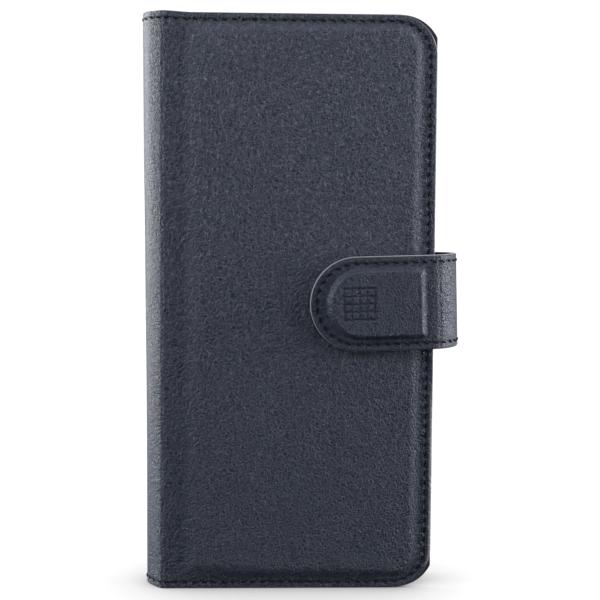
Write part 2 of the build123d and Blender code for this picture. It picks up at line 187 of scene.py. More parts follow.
def volume(points, faces):
    fans = np.array([(f[0], f[i], f[i + 1]) for f in faces for i in range(1, len(f) - 1)])
    a, b, c = (points[fans[:, i]] for i in range(3))
    return np.einsum("ij,ij->", a, np.cross(b, c)) / 6


def merged(*lists, gap=0.012):
    """Sorted positions from several lists, without near-duplicates."""
    values = np.sort(np.concatenate(lists))
    return values[np.concatenate([[True], np.diff(values) > gap])]


def spaced(*spans):
    """Sorted positions from (start, end, step) spans, without near-duplicates."""
    return merged(*(np.linspace(a, b, max(2, round((b - a) / d) + 1)) for a, b, d in spans))


def polyline(path, blur):
    """A dense path made even and blurred, so that its corners turn like folded leather. Gives
    the distance along it, its points and its directions."""
    step = 0.05
    along = np.concatenate([[0], np.cumsum(np.hypot(*np.diff(path, axis=0).T))])
    s = np.linspace(0, along[-1], int(along[-1] / step) + 1)
    even = np.stack([np.interp(s, along, path[:, i]) for i in (0, 1)], -1)
    reach = int(4 * blur / step)
    kernel = np.exp(-0.5 * (np.arange(-reach, reach + 1) * step / blur) ** 2)
    kernel /= kernel.sum()
    before = 2 * even[0] - even[reach:0:-1]
    after = 2 * even[-1] - even[-2 : -reach - 2 : -1]
    padded = np.concatenate([before, even, after])
    soft = np.stack([np.convolve(padded[:, i], kernel, "valid") for i in (0, 1)], -1)
    direction = np.gradient(soft, axis=0)
    direction /= np.linalg.norm(direction, axis=1)[:, None]
    return s, soft, direction


def edge_insets(span, limit):
    """Distances from a sewn edge, close together where the edge is rounded and where the seam
    and the panel's slope are."""
    rounding = EDGE_R * (1 - np.cos(np.radians((0, 22, 45, 68, 90))))
    body = spaced((0.6, 1.2, 0.3), (1.35, 2.65, 0.13), (2.7, span, 0.28), (span, limit, 0.8))
    return np.concatenate([rounding, body])


def rounded(d, radius=EDGE_R):
    """How far a rounded edge has fallen, at a distance inside the outline."""
    t = np.clip(1 - d / radius, 0, 1)
    return radius * (1 - np.sqrt(1 - t * t))


def groove(near):
    """Depth of the groove that the thread presses, at a distance from the seam."""
    return 0.14 * np.exp(-((near / 0.45) ** 2))


# ---- Materials ----
class Nodes:
    """Short names for building a material's nodes."""

    def __init__(self, name):
        self.material = bpy.data.materials.new(name)
        self.material.use_nodes = True
        self.tree = self.material.node_tree
        self.shader = self.tree.nodes["Principled BSDF"]

    def put(self, socket, value):
        if isinstance(value, bpy.types.NodeSocket):
            self.tree.links.new(value, socket)
        else:
            socket.default_value = value

    def add(self, kind, settings=(), out=0, **inputs):
        node = self.tree.nodes.new("ShaderNode" + kind)
        for key, value in dict(settings).items():
            setattr(node, key, value)
        for key, value in inputs.items():
            found = int(key[1:]) if key[1:].isdigit() else key.replace("_", " ")
            self.put(node.inputs[found], value)
        return node.outputs[out]

    def math(self, operation, a, b=0.0, c=0.0, clamp=False):
        settings = {"operation": operation, "use_clamp": clamp}
        return self.add("Math", settings, _0=a, _1=b, _2=c)

    def mix(self, factor, a, b):
        """A blend of two colours or two numbers."""
        plain = isinstance(a, (int, float))
        node = self.tree.nodes.new("ShaderNodeMix")
        node.data_type = "FLOAT" if plain else "RGBA"
        first, out = (2, 0) if plain else (6, 2)
        self.put(node.inputs[0], factor)
        self.put(node.inputs[first], a if plain else self.colour(a))
        self.put(node.inputs[first + 1], b if plain else self.colour(b))
        return node.outputs[out]

    def colour(self, value):
        return value if isinstance(value, bpy.types.NodeSocket) else (*value, 1.0)

    def ramp(self, value, low, high, a=0.0, b=1.0):
        settings = {"clamp": True, "interpolation_type": "SMOOTHSTEP"}
        return self.add("MapRange", settings, _0=value, _1=low, _2=high, _3=a, _4=b)

    def noise(self, place, scale, detail=3.0, rough=0.55, out=0):
        return self.add("TexNoise", (), out, Vector=place, Scale=scale, Detail=detail, Roughness=rough)

    def moved(self, place, offset, amount):
        """A place shifted by a colour, to warp a pattern."""
        centred = self.add("VectorMath", {"operation": "SUBTRACT"}, _0=offset, _1=(0.5, 0.5, 0.5))
        shift = self.add("VectorMath", {"operation": "SCALE"}, _0=centred, _3=amount)
        return self.add("VectorMath", {"operation": "ADD"}, _0=place, _1=shift)

    def bump(self, height, distance, strength=1.0, normal=None):
        inputs = {"Height": height, "Distance": distance, "Strength": strength}
        if normal is not None:
            inputs["Normal"] = normal
        return self.add("Bump", **inputs)

    def finish(self, **inputs):
        for key, value in inputs.items():
            socket = self.shader.inputs[key.replace("_", " ")]
            self.put(socket, self.colour(value) if key.endswith(("Color", "Tint")) else value)
        return self.material


def stored(nodes, name="grain"):
    """The place stored with each point of a sheet, in millimetres, so that the grain stays put
    when the sheet bends."""
    return nodes.add("Attribute", {"attribute_name": name}, 1)


def leather(name, dark, light, grain=1.0, depth=1.0, seams=False, rough=0.42, lit_edge_line=False):
    """Pebbled leather: cells of two sizes with soft creases between them, creases and flecks painted
    paler as a painted sheen that is stronger higher up, as painted light from above, a satin sheen
    that varies, fine wrinkles round a spine, needle holes along a seam painted near-black as painted
    shade in the holes, and a painted highlight: a pale line along the lower end of a free edge."""
    n = Nodes(name)
    place = stored(n)
    warp = n.noise(place, 0.4, 3.0, 0.6, out=1)
    warped = n.moved(place, warp, 2.2)
    small = n.moved(warped, n.noise(place, 1.7, 2.0, 0.6, out=1), 0.6)
    edge = {"feature": "DISTANCE_TO_EDGE"}
    wide_cells = n.add("TexVoronoi", edge, Vector=warped, Scale=0.5 * grain)
    fine_cells = n.add("TexVoronoi", edge, Vector=small, Scale=1.05 * grain)
    patch = n.ramp(n.noise(place, 0.12, 2.0), 0.35, 0.65)
    wide = n.ramp(wide_cells, 0.0, 0.17)
    fine = n.ramp(fine_cells, 0.0, 0.2)
    pores = n.noise(place, 4.5, 3.0, 0.75)
    height = n.math("MULTIPLY_ADD", wide, n.mix(patch, 0.35, 0.7), n.math("MULTIPLY", fine, 0.75))
    height = n.math("MULTIPLY_ADD", pores, 0.35, height)
    # Paler creases and flecks in the colour are a painted sheen: the grain catching the light.
    wide_lines = n.ramp(wide_cells, 0.0, 0.06, 0.7, 0.0)
    lines = n.math("MAXIMUM", wide_lines, n.ramp(fine_cells, 0.0, 0.08, 0.65, 0.0))
    broken = n.ramp(n.noise(place, 0.75, 3.0, 0.7), 0.44, 0.68)
    flecks = n.ramp(n.noise(place, 3.2, 2.0, 0.8), 0.62, 0.74)
    pale = n.math("MAXIMUM", n.math("MULTIPLY", lines, broken), n.math("MULTIPLY", flecks, 0.45))
    cloud = n.noise(place, 0.05, 4.0, 0.6)
    base = n.mix(cloud, tuple(0.75 * v for v in dark), tuple(1.3 * v for v in dark))
    from_fold, up, _ = n.add("SeparateXYZ", Vector=place).node.outputs
    # Painted light from above: the painted sheen grows stronger higher up the leather.
    painted_top_light = n.ramp(n.math("MULTIPLY_ADD", cloud, 60.0, up), 40.0, 190.0, 0.3, 0.8)
    pits = n.ramp(n.noise(place, 2.4, 2.0, 0.7), 0.4, 0.3, 0.0, 0.55)
    colour = n.mix(n.math("MULTIPLY", pale, painted_top_light), base, light)
    colour = n.mix(pits, colour, tuple(0.3 * v for v in dark))
    spine = n.math("MULTIPLY", n.ramp(from_fold, -3.0, -7.0), n.ramp(from_fold, -23.0, -19.0))
    long = n.add("Mapping", Vector=place, Scale=(1.6, 0.22, 1.0))
    wrinkles = n.noise(n.moved(long, warp, 0.6), 1.0, 3.0, 0.6)
    faint = n.math("MULTIPLY", height, 0.35)
    height = n.mix(spine, height, n.math("MULTIPLY_ADD", wrinkles, 0.9, faint))
    normal = n.bump(height, 0.00022 * depth, 1.0)
    roughness = n.math("MULTIPLY_ADD", n.noise(place, 0.6, 3.0), 0.16, rough - 0.08)
    if seams:
        near = n.add("SeparateXYZ", Vector=stored(n, "seam")).node.outputs
        along = n.math("MULTIPLY", n.math("SUBTRACT", near[0], n.math("ROUND", near[0])), PITCH)
        squares = [n.math("POWER", v, 2.0) for v in (along, near[1])]
        reach = n.math("SQRT", n.math("ADD", *squares))
        normal = n.bump(n.ramp(reach, 0.1, 0.5), 0.0002, 0.7, normal)
        # The needle holes are painted near-black as painted shade inside them.
        colour = n.mix(n.ramp(reach, 0.14, 0.3, 0.85, 0.0), colour, (0.002, 0.002, 0.003))
    # Painted highlight: a pale line on the rounded lower end of a cover's free edge, where the edge
    # catches the light.
    if lit_edge_line:
        edge_glint_mask = n.math("MULTIPLY", n.ramp(near[1], -1.0, -1.4), n.ramp(from_fold, 79.0, 80.5))
        edge_glint_mask = n.math("MULTIPLY", edge_glint_mask, n.ramp(up, 66.0, 50.0, 0.0, 0.75))
        colour = n.mix(edge_glint_mask, colour, (0.22, 0.21, 0.22))
    return n.finish(
        Base_Color=colour,
        Roughness=roughness,
        Normal=normal,
        Specular_IOR_Level=0.38,
        Specular_Tint=(0.87, 0.93, 1.0),
        Sheen_Weight=0.05,
        Sheen_Roughness=0.5,
    )


def painted_edge(name, dark, light):
    """The sealed edge of cut leather: a little glossy and slightly uneven, with a pale painted
    highlight where the edge catches the light, at the lower end of a cover's free edge."""
    n = Nodes(name)
    place = stored(n)
    lumps = n.noise(place, 2.2, 3.0)
    across, up, _ = n.add("SeparateXYZ", Vector=place).node.outputs
    # Painted highlight where the edge catches the light, at the lower end of a cover's free edge and
    # along the strap's edge.
    lit_edge_line = n.math("MULTIPLY", n.ramp(across, 80.0, 82.0), n.ramp(up, 64.0, 52.0))
    colour = n.mix(lumps, dark, light)
    colour = n.mix(n.math("MULTIPLY", lit_edge_line, n.mix(lumps, 0.5, 1.0)), colour, (0.26, 0.26, 0.3))
    return n.finish(
        Base_Color=colour, Roughness=n.mix(lumps, 0.28, 0.45), Normal=n.bump(lumps, 0.0001, 0.6)
    )


def microfibre(name, dark, light):
    """Short-napped lining cloth with brushed patches and a soft sheen."""
    n = Nodes(name)
    place = stored(n)
    nap = n.noise(place, 7.0, 4.0, 0.75)
    strokes = n.moved(place, n.noise(place, 0.2, 2.0, out=1), 4.0)
    brushed = n.ramp(n.noise(strokes, 0.12, 2.0), 0.4, 0.6)
    colour = n.mix(n.math("MULTIPLY_ADD", brushed, 0.22, n.math("MULTIPLY", nap, 0.6)), dark, light)
    return n.finish(
        Base_Color=colour,
        Roughness=n.mix(nap, 0.8, 0.98),
        Normal=n.bump(nap, 0.00012, 0.7),
        Sheen_Weight=0.35,
        Sheen_Roughness=0.45,
        Specular_IOR_Level=0.2,
    )


def thread_material():
    """Waxed two-ply thread. The stored place is the distance along it and the angle round it."""
    n = Nodes("thread")
    parts = n.add("SeparateXYZ", Vector=stored(n)).node.outputs
    turn = n.math("MULTIPLY_ADD", parts[0], 9.0, n.math("MULTIPLY", parts[1], 2.0))
    ply = n.math("ABSOLUTE", n.math("SINE", turn))
    fibre = n.noise(stored(n), 12.0, 3.0, 0.7)
    colour = n.mix(n.math("MULTIPLY", ply, fibre), (0.0015, 0.0017, 0.003), (0.006, 0.007, 0.012))
    return n.finish(
        Base_Color=colour,
        Roughness=n.mix(fibre, 0.6, 0.85),
        Normal=n.bump(ply, 0.00012, 0.9),
        Specular_IOR_Level=0.12,
    )


def solid_material(name, dark, light, scale, rough=0.5, metal=0.0, depth=0.05, stretch=(1, 1, 1)):
    """Plain stuff with a mottled colour, an uneven finish and a fine relief. Its pattern lies in
    the object's own space, which moves with its body. Scale is per millimetre."""
    n = Nodes(name)
    local = n.add("TexCoord", (), 3)
    place = n.add("Mapping", Vector=local, Scale=tuple(1000 * v for v in stretch))
    fine = n.noise(place, scale, 4.0, 0.65)
    broad = n.noise(place, scale / 12, 3.0)
    colour = n.mix(n.math("MULTIPLY_ADD", broad, 0.6, n.math("MULTIPLY", fine, 0.4)), dark, light)
    roughness = n.math("MULTIPLY_ADD", fine, 0.22, n.math("MULTIPLY_ADD", broad, 0.12, rough - 0.17))
    return n.finish(
        Base_Color=colour,
        Roughness=roughness,
        Metallic=metal,
        Normal=n.bump(fine, 0.001 * depth, 0.6),
    )


NAVY = (0.0058, 0.0104, 0.0285)
cover_leather = leather("cover_leather", NAVY, (0.15, 0.17, 0.235), seams=True, lit_edge_line=True)
pocket_leather = leather(
    "pocket_leather", (0.014, 0.017, 0.025), (0.07, 0.078, 0.095), grain=1.6, depth=0.5, rough=0.5
)
strap_leather = leather(
    "strap_leather", NAVY, (0.105, 0.12, 0.165), grain=1.15, depth=0.7, seams=True
)
edge_paint = painted_edge("edge_paint", (0.014, 0.016, 0.023), (0.038, 0.041, 0.054))
# The strap's edge is coloured pale as a painted highlight of its rounded edge catching the light.
strap_edge_highlight = painted_edge("strap_edge_highlight", (0.1, 0.105, 0.125), (0.2, 0.21, 0.24))
lining_cloth = microfibre("lining_cloth", (0.016, 0.015, 0.016), (0.05, 0.047, 0.048))
thread_look = thread_material()


# ---- Covers ----
WIDTH = X_EDGE - X_FOLD
SEAM_START = 2.4  # a cover's own stitches start this far from its fold
SEAM_RUN = 2 * (WIDTH - CORNER_R - SEAM_START) + math.pi * (CORNER_R - SEAM)
SEAM_RUN += HEIGHT - 2 * CORNER_R
SEAM_COUNT = round(SEAM_RUN / PITCH)
SEAM_PITCH = SEAM_RUN / SEAM_COUNT
# the camera window's sides, lower and upper ends, and corner radius
WINDOW = (42.4 - CREASE, 75.6 - CREASE, 115.4, 162.6, 9.6)


class Bent:
    """A bent sheet seen from above. s is the distance along it from a fold: positive on its
    flat part, and negative round its arch as far as mid-arch. side is -1 towards the front, and
    out is -1 for an arch on the left. depths are how far inside the leather the arch and the
    flat part lie. A peak of 0 gives a round arch and 1 a more pointed one."""

    def __init__(self, side, out, x, bulge, middle, half, end, depths, blur, peak):
        self.side, self.out = side, out
        arch_depth, flat_depth = depths
        radius = (half**2 + bulge**2) / (2 * bulge)
        r, reach = radius - arch_depth, half - flat_depth
        y = reach * np.sin(np.linspace(0, math.pi / 2, 200))
        round_rise = np.sqrt(r**2 - y**2) - radius
        pointed_rise = (round_rise[0] - round_rise[-1]) * (1 - (y / reach) ** 2) + round_rise[-1]
        rise = bulge + (1 - peak) * round_rise + peak * pointed_rise
        arch = np.stack([x + out * rise, middle + side * y], -1)
        flat = np.array([[end, middle + side * reach]])
        s, self.points, self.directions = polyline(np.concatenate([arch, flat]), blur)
        self.s = s - np.hypot(*np.diff(arch, axis=0).T).sum()
        self.start = self.s[0]

    def at(self, s, z, lift):
        """A point at a height off the sheet."""
        p = [np.interp(s, self.s, self.points[:, i]) for i in (0, 1)]
        d = [np.interp(s, self.s, self.directions[:, i]) for i in (0, 1)]
        flip = self.side * self.out
        return np.stack([p[0] + flip * d[1] * lift, p[1] - flip * d[0] * lift, z + 0 * s], -1)


def cover_section(side, arch_depth=0.0, flat_depth=0.0, blur=0.3):
    half = (BACK - FACE) / 2
    depths = (arch_depth, flat_depth)
    return Bent(side, -1, X_FOLD, SPINE_BULGE, MIDDLE, half, X_EDGE, depths, blur, 0.6)


SECTIONS = {side: cover_section(side) for side in (-1, 1)}
SPINE_HALF = -SECTIONS[-1].start
SPINE_COUNT = round(2 * SPINE_HALF / PITCH)
SPINE_PITCH = 2 * SPINE_HALF / SPINE_COUNT


def cover_edge(s, z):
    """Distance inside a cover's outline."""
    return inside(s, z, -300, WIDTH, 0, HEIGHT, 0, CORNER_R)


def cover_relief(side, s, z):
    """How far a cover's leather stands out from its border, but for its groove and edges."""
    # the spine stands further out at its upper end than at its lower end
    lean = (1.06 * smooth(20, 185, z) - 0.6) * smooth(0, -6, s)
    base = lean + waves(s, z, 0.05) * smooth(0, 6, cover_edge(s, z))
    crease = s - 0.12 * np.sin(z / 3.1) - 0.1 * np.sin(z / 1.3 + 1.0)
    base = base - 0.16 * np.exp(-((crease / 0.4) ** 2))
    if side > 0:
        border = 4.5
        low, high, r = border, HEIGHT - border, CORNER_R - border
        d = inside(s, z, 4.0, WIDTH - border, low, high, 1.5, r)
        return base + BACK_RISE * smooth(0, 1.4, d)
    at_fold, at_free_edge, at_end = 5.5, 3.3, 2.7
    x0, x1, z0, z1 = at_fold, WIDTH - at_free_edge, at_end, HEIGHT - at_end
    d = inside(s, z, x0, x1, z0, z1, 2.0, CORNER_R - at_free_edge)
    to_fold, to_free = np.maximum(s - x0, 0.01), np.maximum(x1 - s, 0.01)
    to_side = np.minimum(to_fold / 3, to_free)
    to_end = np.maximum(np.minimum(z - z0, z1 - z), 0.01)
    widest = np.where(to_fold / 3 < to_free, 6.5, 4.0)
    narrowest = np.where(z < HEIGHT / 2, 3.2, 2.2)
    slope = narrowest + (widest - narrowest) * to_end / (to_side + to_end)
    across = np.clip(1 - ((s - x0) / (x1 - x0) * 2 - 1) ** 4, 0, 1)
    along = np.clip(1 - (2 * z / HEIGHT - 1) ** 6, 0, 1)
    return base + PANEL_RISE * smooth(0, 1, d / slope) + 0.15 * across * along * (d > 0)


def cover_at(side, s, z, lift=0.0):
    """A point on a cover's leather, or lifted off it. The leather stands a little higher at the
    top of the spine."""
    rise = 0.45 * smooth(9, 0, s) * smooth(150, HEIGHT, z)
    return SECTIONS[side].at(s, z + rise, cover_relief(side, s, z) + lift)


def cover_seam(s, z):
    """Stitches counted along the seam from the fold, and the distance from the seam."""
    low = np.minimum(z, HEIGHT - z)
    bend = CORNER_R - SEAM
    sc = WIDTH - CORNER_R
    first = sc - SEAM_START
    turn = np.arctan2(np.maximum(s - sc, 0), np.maximum(CORNER_R - low, 1e-6))
    t = np.where(s < sc, s - SEAM_START, first + bend * turn)
    t = np.where(low < CORNER_R, t, first + bend * math.pi / 2 + low - CORNER_R) / SEAM_PITCH
    t = np.where(s < SEAM_START, s / SEAM_START - 1, t)
    t = np.where(s < 0, s / SPINE_PITCH - 1, t)
    t = np.where(z > HEIGHT / 2, SEAM_COUNT - t, t)
    return np.stack([t, cover_edge(s, z) - SEAM, 0 * t], -1)


def cover_seam_place(t):
    """(s, z) of a count along a cover's seam. Counts from -1 to 0 cross the fold, and lower
    ones run round the spine."""
    q = np.where(t > SEAM_COUNT / 2, SEAM_COUNT - t, t)
    along = np.maximum(q, 0) * SEAM_PITCH
    bend = CORNER_R - SEAM
    first = WIDTH - CORNER_R - SEAM_START
    turn = np.clip((along - first) / bend, 0, math.pi / 2)
    s = SEAM_START + np.minimum(along, first) + bend * np.sin(turn)
    s = np.where(q < 0, SEAM_START * (1 + q), s)
    s = np.where(q < -1, (q + 1) * SPINE_PITCH, s)
    z = SEAM + bend * (1 - np.cos(turn)) + np.maximum(along - first - bend * math.pi / 2, 0)
    return s, np.where(t > SEAM_COUNT / 2, HEIGHT - z, z)


def cover_grid(fine=1.0):
    """Columns and rows over a cover, close together at the fold, the seam and the edges."""
    bend = WIDTH - CORNER_R + CORNER_R * np.sin(np.radians(np.arange(0, 91, 5)))
    x0, x1, z0 = WINDOW[:3]
    columns = spaced(
        (-SPINE_HALF, -SPINE_HALF + 0.03, 0.03),
        (-SPINE_HALF, -2.4, 0.55 * fine),
        (-2.4, 2.4, 0.16 * fine),
        (2.4, 6.4, 0.5 * fine),
        (6.4, 13.0, 0.5 * fine),
        (13.0, WIDTH - 11, 1.5 * fine),
        (WIDTH - 11, WIDTH - 7.4, 0.6 * fine),
        (WIDTH - 7.4, WIDTH - 2.7, 0.3 * fine),
        (WIDTH - 2.65, WIDTH - 1.35, 0.13 * fine),
    )
    columns = merged(columns, bend, [x0, x1, WIDTH])
    insets = edge_insets(5.6, 12.0)[:: round(fine)]
    last = insets[-1]
    middle = spaced((last, HEIGHT - last, 1.6 * fine))[1:-1]
    middle = merged(middle, [z0], gap=0.2)
    run = np.clip(columns - (WIDTH - CORNER_R), 0, CORNER_R)
    low = CORNER_R - np.sqrt(CORNER_R**2 - run**2)
    share = (middle - last) / (HEIGHT - 2 * last)
    lower = low[:, None] + insets
    upper = (HEIGHT - low)[:, None] - insets[::-1]
    between = lower[:, -1:] + share * (upper[:, :1] - lower[:, -1:])
    z = np.concatenate([lower, between, upper], 1)
    return np.repeat(columns[:, None], z.shape[1], 1), z


def open_window(s, z):
    """Leaves out the cells in the camera window, and draws the points round it to its edge."""
    x0, x1, z0, z1, r = WINDOW
    d = inside(s, z, x0, x1, z0, z1, r, r)
    step = 0.01
    gs = (inside(s + step, z, x0, x1, z0, z1, r, r) - d) / step
    gz = (inside(s, z + step, x0, x1, z0, z1, r, r) - d) / step
    inner = d > 0.02
    keep = ~(inner[:-1, :-1] & inner[1:, :-1] & inner[1:, 1:] & inner[:-1, 1:])
    edge = np.zeros(s.shape, bool)
    for a in (slice(None, -1), slice(1, None)):
        for b in (slice(None, -1), slice(1, None)):
            edge[a, b] |= keep
    edge &= inner
    return np.where(edge, s - gs * d, s), np.where(edge, z - gz * d, z), keep


def cover_skin(name, side, replaced):
    """A cover's outer leather with its half of the spine."""
    s, z = cover_grid()
    keep = None
    if side > 0:
        s, z, keep = open_window(s, z)
    edge = cover_edge(s, z)
    seam = cover_seam(s, z)
    outer = cover_at(side, s, z, -groove(seam[..., 1]) - rounded(edge))
    in_tab = (np.abs(z - STRAP_Z) < STRAP_W / 2 + 0.5) & (s > WIDTH - 11) & (side > 0)
    inner = SECTIONS[side].at(s, z, waves(s, z, 0.02) - LEATHER + 0.62 * in_tab)
    along = s if side < 0 else -2 * SPINE_HALF - s
    place = np.stack([along, z, 0 * s], -1)
    rim = (edge[:-1, :-1] + edge[1:, 1:]) / 2 < 0.2
    obj = sheet(name, outer, inner, place, [cover_leather, edge_paint], rim, seam, keep)
    return fold_skin(obj, replaced)


def bend_at_fold(obj):
    """Bakes a piece's placement into its mesh."""
    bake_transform(obj)


def fold_skin(obj, replaced):
    bend_at_fold(obj)
    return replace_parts(obj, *replaced)


def at_mm(x, y, z):
    return Vector((x, y, z)) * 0.001


def cover_lining(name, side, replaced):
    """The lining of a cover and of its half of the spine."""
    s, z = cover_grid(2.0)
    keep = None
    if side > 0:
        s, z, keep = open_window(s, z)
    path = cover_section(side, LEATHER + 0.4, LEATHER, 0.8)
    start = path.start
    s = np.where(s < 0, s * start / -SPINE_HALF, s)
    outer = path.at(s, z, waves(s, z, 0.03) - 0.03)
    inner = path.at(s, z, waves(z, s, 0.06) - LINING)
    place = np.stack([s, z, 0 * s + 90 * side], -1)
    obj = sheet(name, inner, outer, place, [lining_cloth, lining_cloth], keep=keep)
    return fold_skin(obj, replaced)


cover_skin("front_skin", -1, ["front_leather", "spine_leather"])
cover_skin("back_skin", 1, ["back_leather", "spine_leather"])
cover_lining("front_lining_skin", -1, ["front_lining", "spine_lining"])
cover_lining("back_lining_skin", 1, ["back_lining", "spine_lining"])


# ---- Strap ----
HALF_W = STRAP_W / 2
TAB_END = X_EDGE - 10.0  # the end that is sewn in behind the back leather


def strap_section(side, arch_depth=0.0, flat_depth=0.0, blur=1.8):
    end = X_STRAP - STRAP_REACH if side < 0 else TAB_END
    middle, half = (STRAP_FACE + STRAP_ROOT) / 2, (STRAP_ROOT - STRAP_FACE) / 2
    depths = (arch_depth, flat_depth)
    return Bent(side, 1, X_STRAP, STRAP_BULGE, middle, half, end, depths, blur, 0.25)


STRAPS = {side: strap_section(side) for side in (-1, 1)}
WRAP_HALF = -STRAPS[-1].start
WRAP_COUNT = round(2 * WRAP_HALF / PITCH)
WRAP_PITCH = 2 * WRAP_HALF / WRAP_COUNT
FLAP_RUN = 2 * (STRAP_REACH - HALF_W) + math.pi * (HALF_W - SEAM)
FLAP_COUNT = round(FLAP_RUN / PITCH)
FLAP_PITCH = FLAP_RUN / FLAP_COUNT


def tilted(points):
    """Turns strap points by the strap's tilt."""
    x, z = points[..., 0] - X_STRAP, points[..., 2] - STRAP_Z
    c, s = math.cos(TILT), math.sin(TILT)
    return np.stack([X_STRAP + x * c - z * s, points[..., 1], STRAP_Z + x * s + z * c], -1)


def flap_edge(s, w):
    """Distance inside the flap's outline; w is measured from the strap's middle line."""
    return inside(s, w, -300, STRAP_REACH, -HALF_W, HALF_W, 0, HALF_W)


def pad_edge(s, w):
    """Distance inside the foot of the raised pad."""
    half = HALF_W - 3.2
    return inside(s, w, 3.8, STRAP_REACH - 4.6, -half, half, 1.6, half)


def lattice(s, w):
    """Depth of the plain square grid pressed into the middle of the pad."""
    middle, square, line, half, r = 24.2, 2.3, 0.34, 5.4, 1.6
    a, b = s - middle, w
    lines = 0.0 * a
    for across in (a / square, b / square):
        off = (across - np.round(across)) * square
        lines = np.maximum(lines, np.exp(-((off / line) ** 2)))
    return 0.3 * lines * smooth(0.0, 0.35, inside(a, b, -half, half, -half, half, r, r))


def flap_relief(s, w):
    pad = pad_edge(s, w)
    slope = 1.5 + 1.1 * smooth(9, 4, s) + 0.7 * smooth(27, 33, s)
    rise = STRAP_RISE * smooth(0, 1, pad / slope) - 0.1
    ridge = 0.05 * np.exp(-(((s - 6.6) / 0.7) ** 2)) * smooth(0.5, 3.0, pad)
    base = waves(s * 1.7, w * 1.7, 0.07) * smooth(0, 5, flap_edge(s, w)) - lattice(s, w) - ridge
    return base + rise - 0.1 * np.exp(-((s / 0.5) ** 2))


def strap_thickness(side, s):
    """The strap thins towards its sewn-in end."""
    return LEATHER if side < 0 else LEATHER - 0.6 * smooth(-0.6, 1.2, s)


def strap_drop(side, s):
    """The sewn-in end lies a little deeper than the strap's rear fold."""
    return 0.0 * s if side < 0 else -0.4 * smooth(-0.4, 1.3, s)


def strap_at(side, s, w, lift=0.0):
    relief = flap_relief(s, w) if side < 0 else waves(s * 1.7, w * 1.7, 0.07)
    return tilted(STRAPS[side].at(s, STRAP_Z + w, relief + strap_drop(side, s) + lift))


def flap_grid(step=1.0):
    """(s, w) over the flap and the front half of the wrap. Columns follow the outline round
    the tip, and rows lie at fixed distances inside it, as far as the middle line."""
    along = spaced(
        (-WRAP_HALF, -WRAP_HALF + 0.03, 0.03),
        (-WRAP_HALF, -2.0, 0.55 * step),
        (-2.0, 2.0, 0.16 * step),
        (2.0, 6.2, 0.2 * step),
        (6.2, 8.2, 0.25 * step),
        (8.2, 18.4, 0.5 * step),
        (18.4, STRAP_REACH - HALF_W, 0.16 * step),
    )
    turn = np.radians(np.linspace(0, 180, round(120 / step) + 1)[1:-1])
    insets = np.concatenate([edge_insets(6.0, 6.3)[:-2], spaced((5.8, HALF_W, 0.18 * step))])
    straight = np.ones(len(along))
    corner = STRAP_REACH - HALF_W
    s0 = np.concatenate([along, corner + HALF_W * np.sin(turn), along[::-1]])
    w0 = np.concatenate([-HALF_W * straight, -HALF_W * np.cos(turn), HALF_W * straight])
    s1 = np.concatenate([along, corner + 0 * turn, along[::-1]])
    share = insets / HALF_W
    return s0[:, None] + (s1 - s0)[:, None] * share, w0[:, None] * (1 - share)


def strip_grid(start, end, step=1.0):
    """(s, w) over a plain stretch of the strap."""
    s = spaced(
        (start, start + 0.03, 0.03),
        (start, -2.0, 0.5 * step),
        (-2.0, min(2.0, end), 0.16 * step),
        (min(2.0, end), end, 0.8 * step),
    )
    insets = edge_insets(4.5, 5.0)
    middle = spaced((-HALF_W + 5.6, HALF_W - 5.6, 0.7 * step))
    w = np.concatenate([-HALF_W + insets, middle, (HALF_W - insets)[::-1]])
    return np.meshgrid(s, w, indexing="ij")


def flap_seam(s, w):
    """Stitches counted along the flap's seam from the front fold, and distance from it."""
    corner = STRAP_REACH - HALF_W
    bend = HALF_W - SEAM
    turn = np.arctan2(np.maximum(s - corner, 0), np.maximum(np.abs(w), 1e-6))
    t = np.where(s < corner, s, corner + bend * turn) / FLAP_PITCH
    t = np.where(s < 0, s / WRAP_PITCH, t)
    t = np.where(w > 0, FLAP_COUNT - t, t)
    return np.stack([t, flap_edge(s, w) - SEAM, 0 * t], -1)


def flap_seam_place(t):
    q = np.where(t > FLAP_COUNT / 2, FLAP_COUNT - t, t)
    along = q * FLAP_PITCH
    corner = STRAP_REACH - HALF_W
    bend = HALF_W - SEAM
    turn = np.clip((along - corner) / bend, 0, math.pi / 2)
    s = np.minimum(along, corner) + bend * np.sin(turn)
    s = np.where(q < 0, q * WRAP_PITCH, s)
    w = -bend * np.cos(turn)
    return s, np.where(t > FLAP_COUNT / 2, -w, w)


def strap_skin(name, side, grid, edge, seam, replaced):
    s, w = grid
    pressed = groove(seam[..., 1]) * (1 if side < 0 else smooth(0.5, -0.5, s))
    outer = strap_at(side, s, w, -pressed - rounded(edge))
    base = strap_drop(side, s) - strap_thickness(side, s)
    inner = tilted(STRAPS[side].at(s, STRAP_Z + w, base))
    place = np.stack([200 + s * -side, w, 0 * s], -1)
    rim = (edge[:-1, :-1] + edge[1:, 1:]) / 2 < 0.2
    obj = sheet(name, outer, inner, place, [strap_leather, strap_edge_highlight], rim, seam)
    return fold_strap(obj, replaced)


def fold_strap(obj, replaced):
    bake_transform(obj)
    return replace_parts(obj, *replaced)


def strap_lining(name, side, grid, replaced):
    s, w = grid
    path = strap_section(side, LEATHER, LEATHER, 1.4)
    s = np.where(s < 0, s * path.start / -WRAP_HALF, s)
    outer = tilted(path.at(s, STRAP_Z + w, -0.02 + 0 * s))
    inner = tilted(path.at(s, STRAP_Z + w, waves(2 * w, 2 * s, 0.05) - LINING))
    place = np.stack([s, w, 0 * s + 300], -1)
    obj = sheet(name, inner, outer, place, [lining_cloth, lining_cloth])
    return fold_strap(obj, replaced)


